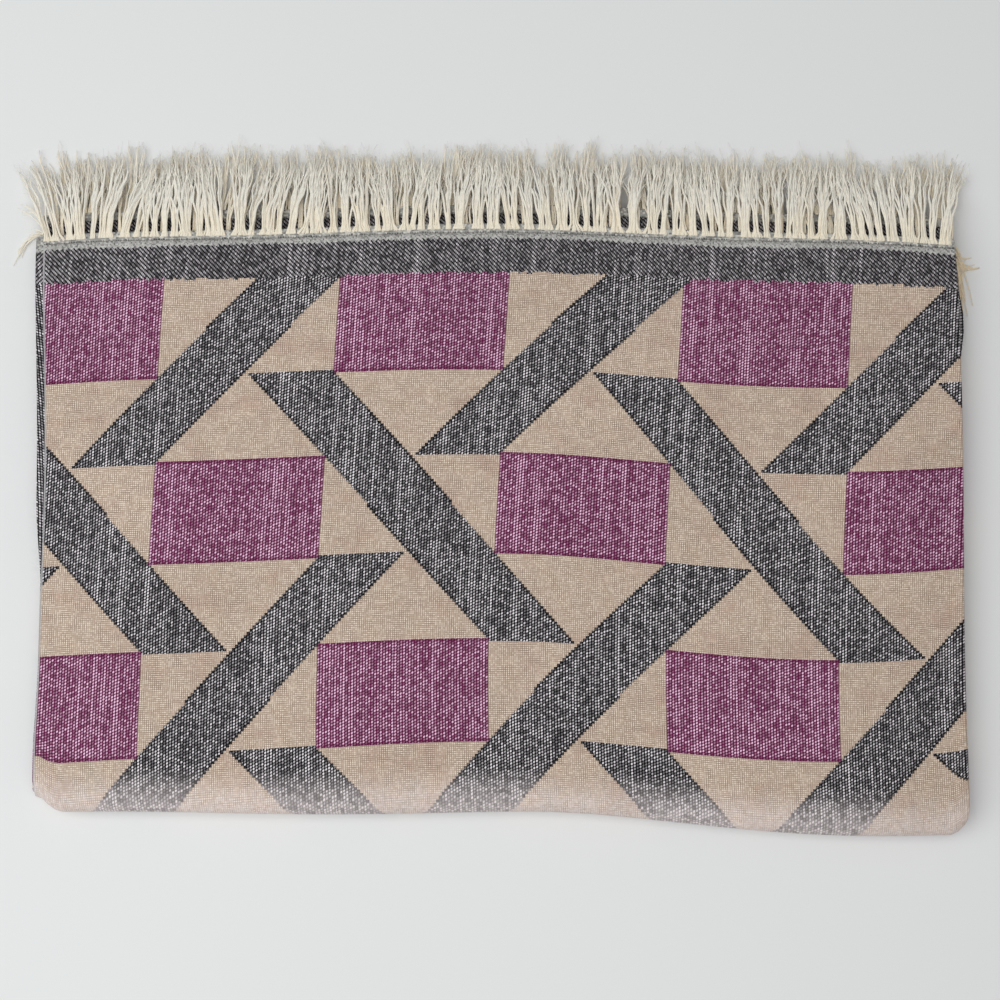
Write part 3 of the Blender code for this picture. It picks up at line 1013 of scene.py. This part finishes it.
@dataclass(frozen=True)
class Wisp:
    """A few loose yarns that lie apart from the rows: where they start, bend and finish."""

    start: tuple[float, float, float]
    bend: tuple[float, float, float]
    finish: tuple[float, float, float]
    count: int
    spread: float
    shade_gold: float

    def lines(self, share: np.ndarray, chance: np.random.Generator) -> np.ndarray:
        """The middle lines of the yarns.

        A line is a parabola: the start by (1 - s) squared, the bend by 2 s (1 - s) and the finish by s
        squared. Each yarn's bend and finish stray by chance.

        Args:
            share: How far along each yarn, as yarns by places.
            chance: The source of random numbers.

        Returns:
            An array of yarns by places by three.
        """
        stray = chance.normal(0.0, self.spread, (2, self.count, 1, 3)) * np.array((1.0, 1.0, 0.1))
        s = share[:, :, None]
        bend = np.array(self.bend) + stray[0]
        finish = np.array(self.finish) + stray[1]
        line = (1.0 - s) ** 2 * np.array(self.start) + 2.0 * s * (1.0 - s) * bend + s**2 * finish
        line[..., 0] += np.linspace(-0.3, 0.3, self.count)[:, None] * self.spread
        line[..., 2] = np.maximum(line[..., 2], 0.0010)
        return line


@dataclass
class FringedEnd:
    """A woven heading with its loose fringe."""

    plan: FoldPlan
    end: End
    rows: tuple[FringeRow, ...]
    wisps: tuple[Wisp, ...] = ()
    yarn_radius: float = 0.00088
    yarn_sides: int = 4
    length_limits: tuple[float, float] = (0.72, 1.13)
    root_overlap: float = 0.0042
    fibre_sides: int = 3
    lean_wave: float = 0.118
    heading_columns: int = 240

    @property
    def start_y(self) -> float:
        """Where the heading begins."""
        edge = self.plan.first_end_y if self.end is End.FIRST else self.plan.second_end_y
        return edge + self.plan.part_gap

    @property
    def run(self) -> str:
        """The run of the cloth that the heading ends."""
        return "a" if self.end is End.FIRST else "b"

    @property
    def normal(self) -> float:
        """1 where the face leaf lies on top, and -1 where it lies below."""
        return 1.0 if self.end is End.FIRST else -1.0

    def heading(self, shift: np.ndarray) -> bpy.types.Object:
        """Makes the heading strip: the folded sheet's own section, swept over the strip's length.

        Args:
            shift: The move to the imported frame.

        Returns:
            The strip as one object.
        """
        steps = 5
        y = self.start_y + self.plan.heading * np.linspace(0.0, 1.0, steps)
        flat = np.zeros_like(y)
        at = Stations(y, flat + self.plan.run_height(self.run), flat, flat + self.normal, y - self.start_y)
        share = np.linspace(0.0, 1.0, self.heading_columns)
        outer, inner = [self.plan.surface(at, side, share, share) for side in (1.0, -1.0)]
        loops = np.concatenate((outer, inner[:, ::-1]), axis=1)
        points = self.plan.settling.place(loops[..., :3]).reshape(-1, 3) + shift
        walls, ends = ring_faces(*loops.shape[:2])
        if self.normal > 0:
            walls, ends = walls[:, ::-1], ends[:, ::-1]
        maps = {"cloth": loops[..., 3:5].reshape(-1, 2)}
        name = f"heading_{self.end.value}_end"
        return MeshMaker.build(name, points, [walls, ends], maps, [HeadingFinish().dress()])

    def strands(self, row: FringeRow) -> Strands:
        """Draws the yarns of one row by chance from the row's own seed.

        Clumps stand almost evenly along the heading. Each has its own lean, which follows a slow wave so
        that neighbours lean alike, and each of its yarns has its own place in the clump, drift and wave.

        Args:
            row: The row.

        Returns:
            Its yarns.
        """
        chance = np.random.default_rng(row.seed)
        clumps, yarns = row.clumps, row.yarns
        half = self.plan.face_width / 2 - 0.002
        place = (np.arange(clumps) + 0.5 + chance.uniform(-0.45, 0.45, clumps)) / clumps
        clump_x = -half + 2 * half * place
        slow = np.sin(2 * math.pi * clump_x / self.lean_wave + row.seed)
        lean = 0.0050 * slow + 0.0022 * np.sin(61.0 * clump_x + 2.0 * row.seed)
        lean = lean + chance.normal(0.0, 0.0032, clumps)
        lean = lean - 0.015 * bell((clump_x + half) / 0.022) + 0.010 * bell((clump_x - half) / 0.022)
        width = chance.uniform(0.5, 1.0, clumps) ** 1.5
        base = np.where(chance.random(clumps) < 0.3, 0.0034, 0.0012) * chance.uniform(0.6, 1.3, clumps)
        clump_length = chance.normal(1.0, 0.06, clumps)
        aside = np.tile(np.linspace(-1.0, 1.0, yarns), clumps) + chance.normal(0.0, 0.22, clumps * yarns)
        count = clumps * yarns
        long_share = np.repeat(clump_length, yarns) * chance.normal(0.97, 0.07, count)
        return Strands(
            root_x=np.repeat(clump_x, yarns),
            aside=aside,
            base=np.repeat(base, yarns),
            fan=np.repeat(0.0012 + 0.0036 * width, yarns),
            lean=np.repeat(lean, yarns),
            drift=chance.normal(0.0, 0.0022, count),
            wave=chance.uniform(0.0002, 0.0011, count),
            phase=chance.uniform(0.0, 2 * math.pi, count),
            length=row.length * np.clip(long_share, *self.length_limits),
            layer=chance.uniform(-1.0, 1.0, count),
            lift=chance.uniform(0.0, 1.0, count) ** 2,
            shade_gold=np.clip(row.shade_gold + chance.normal(0.0, 0.10, count), 0.0, 1.0),
            radius=self.yarn_radius * chance.uniform(0.75, 1.2, count),
        )

    def paths(self, row: FringeRow, yarns: Strands, share: np.ndarray) -> np.ndarray:
        """The middle lines of yarns, laid out level.

        Across, a yarn adds to its root's place the clump's lean and its own drift, both growing with the
        share along it, its place in the clump, which is pinched just past the root and fans out after, and
        a sine wave. Its height goes from the heading's by a smooth step down to the row's resting height,
        with a low arch of its own.

        Args:
            row: The row that the yarns belong to.
            yarns: The yarns.
            share: How far along each yarn, as yarns by places.

        Returns:
            An array of yarns by places by three.
        """
        column = {part.name: getattr(yarns, part.name)[:, None] for part in fields(yarns)}
        grown = np.maximum(share, 0.0)
        clump = column["base"] * np.exp(-grown / 0.07) + 0.0008 + column["fan"] * grown**1.4
        wave = column["wave"] * np.sin(15.0 * share + column["phase"]) * (0.25 + grown)
        lean = column["lean"] * grown**1.3 + column["drift"] * grown**1.2
        x = column["root_x"] + lean + column["aside"] * clump + wave
        out = share * column["length"]
        y = self.start_y + self.plan.heading - self.root_overlap + out
        root_z = self.plan.run_height(self.run) + self.normal * row.leaf.value * self.plan.leaf_offset
        fall = ease((out - row.drop[0]) / row.drop[1])
        arch = 0.0014 * column["lift"] * np.sin(math.pi * np.clip(grown, 0.0, 1.0))
        spread = 0.0008 * column["layer"] * np.clip(grown * 6.0, 0.3, 1.0)
        on_top = row.leaf is Leaf.FACE and self.end is End.FIRST
        over = 0.0016 * on_top * np.exp(-out / 0.006)
        z = root_z + (row.rest - root_z) * fall + spread + arch + over
        floor = (column["radius"] + 0.0001) / (1.0 - self.plan.settling.end_sag)
        return np.stack((x, y, np.maximum(z, floor)), axis=2)

    def fringe(self, shift: np.ndarray, material: bpy.types.Material) -> bpy.types.Object:
        """Makes the fringe: the yarns of all rows and the fine fibres that each tip frays into.

        A yarn is a tube that thins towards its tip. A fibre is a thinner tube that follows its yarn's last
        part and strays from it by a power of the way along.

        Args:
            shift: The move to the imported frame.
            material: The yarn's finish.

        Returns:
            The fringe as one object.
        """
        bundle = TubeBundle()
        for row in self.rows:
            yarns = self.strands(row)
            count = len(yarns.root_x)
            share = np.linspace(0.0, 1.0, 12) * np.ones((count, 1))
            lines = self.plan.settling.place(self.paths(row, yarns, share)) + shift
            thin = 1.0 - 0.60 * ease((share - 0.60) / 0.40) + 0.45 * bell(share / 0.04)
            bundle.add(lines, yarns.radius[:, None] * thin, share, yarns.shade_gold, self.yarn_sides)
            fibres = yarns.repeated(row.fibres)
            chance = np.random.default_rng(row.seed + 100)
            many = len(fibres.root_x)
            start = chance.uniform(0.50, 0.86, (many, 1))
            finish = start + chance.uniform(0.16, 0.34, (many, 1))
            way = np.linspace(0.0, 1.0, 5) * np.ones((many, 1))
            share = start + (finish - start) * way
            level = self.paths(row, fibres, share)
            stray = chance.normal(0.0, 1.0, (many, 1, 3)) * np.array((0.0028, 0.0010, 0.0010))
            level = level + stray * way[:, :, None] ** 1.6
            level[..., 2] = np.maximum(level[..., 2], 0.0004)
            lines = self.plan.settling.place(level) + shift
            radius = chance.uniform(0.00022, 0.00040, (many, 1)) * (1.0 - 0.65 * way)
            bundle.add(lines, radius, np.minimum(share, 1.0), fibres.shade_gold * 0.2, self.fibre_sides)
        for number, wisp in enumerate(self.wisps):
            chance = np.random.default_rng(200 + number)
            share = np.linspace(0.0, 1.0, 10) * np.ones((wisp.count, 1))
            lines = self.plan.settling.place(wisp.lines(share, chance)) + shift
            radius = 0.8 * self.yarn_radius * (1.0 - 0.6 * share)
            bundle.add(lines, radius, share, np.full(wisp.count, wisp.shade_gold), self.yarn_sides)
        return bundle.build(f"fringe_yarn_{self.end.value}_end", material)


class TubeBundle:
    """Gathers many thin tubes into one mesh."""

    FLATNESS = 0.62

    def __init__(self) -> None:
        """Starts empty."""
        self.points: list[np.ndarray] = []
        self.polygons: list[np.ndarray] = []
        self.caps: dict[int, list[np.ndarray]] = {}
        self.yarn: list[np.ndarray] = []
        self.twist: list[np.ndarray] = []
        self.total = 0

    def add(
        self, lines: np.ndarray, radius: np.ndarray, share: np.ndarray, shade_gold: np.ndarray, sides: int
    ) -> None:
        """Adds tubes round lines.

        At each place the tube's ring lies square to the line, in a frame made from the line's direction and
        the upright: a point is the middle plus the radius times the cosine and sine of its turn, and the
        sine is scaled down, so that a yarn is flatter than it is wide.

        Args:
            lines: Tubes by places by three.
            radius: Tubes by places.
            share: How far along its yarn each place is.
            shade_gold: How much painted warm shade each tube takes.
            sides: How many sides each tube has.
        """
        count, places = lines.shape[:2]
        ahead = np.gradient(lines, axis=1)
        ahead /= np.linalg.norm(ahead, axis=2, keepdims=True)
        side = np.cross(ahead, np.array((0.0, 0.0, 1.0)))
        side /= np.maximum(np.linalg.norm(side, axis=2, keepdims=True), 1e-9)
        up = np.cross(side, ahead)
        turn = (np.arange(sides) + 0.5) / sides
        angle = 2 * math.pi * turn[:, None]
        ring = np.cos(angle) * side[:, :, None] + self.FLATNESS * np.sin(angle) * up[:, :, None]
        points = lines[:, :, None] + radius[:, :, None, None] * ring
        number = self.total + np.arange(count * places * sides).reshape(count, places, sides)
        after = np.roll(number, -1, axis=2)
        walls = np.stack((number[:, :-1], number[:, 1:], after[:, 1:], after[:, :-1]), axis=3)
        steps = np.linalg.norm(np.diff(lines, axis=1), axis=2)
        metres = np.concatenate((np.zeros((count, 1)), np.cumsum(steps, axis=1)), axis=1)
        one = np.ones((count, places, sides))
        self.points.append(points.reshape(-1, 3))
        self.polygons.append(walls.reshape(-1, 4))
        self.caps.setdefault(sides, []).extend((number[:, 0], number[:, -1, ::-1]))
        self.yarn.append(np.stack((share[:, :, None] * one, shade_gold[:, None, None] * one), 3).reshape(-1, 2))
        self.twist.append(np.stack((turn * one, metres[:, :, None] * one), 3).reshape(-1, 2))
        self.total += count * places * sides

    def build(self, name: str, material: bpy.types.Material) -> bpy.types.Object:
        """Makes the object of all the tubes."""
        maps = {"yarn": np.concatenate(self.yarn), "twist": np.concatenate(self.twist)}
        faces = [np.concatenate(self.polygons), *[np.concatenate(caps) for caps in self.caps.values()]]
        return MeshMaker.build(name, np.concatenate(self.points), faces, maps, [material])


@dataclass(frozen=True)
class Studio:
    """The plain pale floor, the soft light and the camera."""

    tilt: float = math.radians(6.0)
    distance: float = 1.40
    lens: float = 71.3
    target: tuple[float, float, float] = (-0.0025, 0.0175, 0.026)

    def floor(self) -> bpy.types.Object:
        """Makes the floor: a level square, wide enough for every view."""
        half = 6.0
        corners = half * np.array(((-1.0, -1.0, 0.0), (1.0, -1.0, 0.0), (1.0, 1.0, 0.0), (-1.0, 1.0, 0.0)))
        graph = Graph("pale_floor")
        place = graph.node("ShaderNodeTexCoord", {}, {}, "Object")
        soft = graph.cloud(place, 1.3, 1.0)
        colour = graph.mix(soft, tone(236, 236, 235), tone(240, 240, 239))
        graph.put(graph.shader.inputs["Base Color"], colour)
        graph.shader.inputs["Roughness"].default_value = 0.75
        graph.shader.inputs["Specular IOR Level"].default_value = 0.2
        floor = MeshMaker.build("studio_floor", corners, [np.array([[0, 1, 2, 3]])], {}, [graph.material])
        return floor

    def lamp(self, name: str, place: tuple, size: float, power: float, colour: Colour) -> None:
        """Adds a square area lamp that points at the origin."""
        data = bpy.data.lights.new(name, "AREA")
        data.shape = "SQUARE"
        data.size = size
        data.energy = power
        data.color = colour
        lamp = bpy.data.objects.new(name, data)
        direction = -Vector(place)
        turn = direction.to_track_quat("-Z", "Y").to_matrix().to_4x4()
        lamp.matrix_world = Matrix.Translation(place) @ turn
        bpy.context.scene.collection.objects.link(lamp)

    def lights(self) -> None:
        """Adds the lamps and the even light of the room."""
        self.lamp("window_light", (-1.15, -0.30, 1.75), 2.0, 24.5, (0.94, 0.98, 1.0))
        self.lamp("room_light", (0.2, -0.3, 2.6), 2.0, 14.5, (1.0, 0.985, 0.955))
        world = bpy.data.worlds.new("room")
        bpy.context.scene.world = world
        world.use_nodes = True
        background = world.node_tree.nodes["Background"]
        background.inputs["Color"].default_value = (0.97, 0.98, 1.0, 1.0)
        background.inputs["Strength"].default_value = 0.34

    def camera(self, shift: np.ndarray) -> None:
        """Adds the camera: it looks at the target from a distance, tilted a little from straight down."""
        target = Vector(self.target) + Vector(shift)
        back = Vector((0.0, -math.sin(self.tilt), math.cos(self.tilt)))
        data = bpy.data.cameras.new("camera")
        data.lens = self.lens
        data.sensor_width = 36.0
        data.clip_end = 20.0
        camera = bpy.data.objects.new("camera", data)
        up = Vector((0.0, math.cos(self.tilt), math.sin(self.tilt)))
        side = up.cross(back)
        turn = Matrix((side, up, back)).transposed().to_4x4()
        camera.matrix_world = Matrix.Translation(target + self.distance * back) @ turn
        bpy.context.scene.collection.objects.link(camera)
        bpy.context.scene.camera = camera


# Each row's seventh number is the share of painted warm shade its yarns take: more in the lower rows.
FIRST_ROWS = (
    FringeRow(Leaf.FACE, 104, 7, 0.057, 0.0112, (0.016, 0.034), 0.04, 5, 3),
    FringeRow(Leaf.BACK, 50, 5, 0.053, 0.0085, (0.012, 0.032), 0.25, 2, 5),
)
SECOND_ROWS = (
    FringeRow(Leaf.BACK, 66, 6, 0.050, 0.0048, (0.002, 0.026), 0.25, 3, 11),
    FringeRow(Leaf.FACE, 50, 6, 0.047, 0.0022, (0.000, 0.024), 0.35, 3, 13),
)
FIRST_WISPS = (
    Wisp((-0.322, 0.207, 0.0240), (-0.331, 0.230, 0.0200), (-0.345, 0.234, 0.0130), 6, 0.003, 0.1),
    Wisp((-0.322, 0.207, 0.0230), (-0.329, 0.216, 0.0200), (-0.338, 0.213, 0.0140), 3, 0.002, 0.1),
)
# The tufts beside the stack lie in shade, so most take much painted warm shade.
SECOND_WISPS = (
    Wisp((0.321, 0.212, 0.0050), (0.333, 0.204, 0.0030), (0.334, 0.164, 0.0015), 16, 0.004, 0.8),
    Wisp((0.321, 0.208, 0.0050), (0.334, 0.190, 0.0030), (0.341, 0.193, 0.0012), 9, 0.003, 0.9),
    Wisp((-0.324, 0.214, 0.0060), (-0.341, 0.222, 0.0040), (-0.347, 0.200, 0.0012), 7, 0.003, 0.2),
)


def main() -> None:
    """Builds the pieces in order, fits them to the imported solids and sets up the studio."""
    logging.basicConfig(level=logging.INFO, format="%(name)s: %(message)s")
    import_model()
    plan = FoldPlan()
    cloth = ThrowCloth(plan)
    shift = cloth.shift()
    report.info("shift %s", np.round(shift, 5))
    studio = Studio()
    studio.floor()
    studio.lights()
    studio.camera(shift)
    sheet = cloth.build(shift)
    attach(sheet, "root")
    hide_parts("throw_cloth")
    report.info("%s: %d faces", sheet.name, len(sheet.data.polygons))
    yarn = YarnFinish().dress()
    first = FringedEnd(plan, End.FIRST, FIRST_ROWS, FIRST_WISPS)
    second = FringedEnd(plan, End.SECOND, SECOND_ROWS, SECOND_WISPS)
    for fringed in (first, second):
        for piece in (fringed.heading(shift), fringed.fringe(shift, yarn)):
            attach(piece, "root")
            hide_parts(f"fringe_{fringed.end.value}_end")
            report.info("%s: %d faces", piece.name, len(piece.data.polygons))
    bpy.context.scene.view_settings.view_transform = "Standard"


if __name__ == "__main__":
    main()
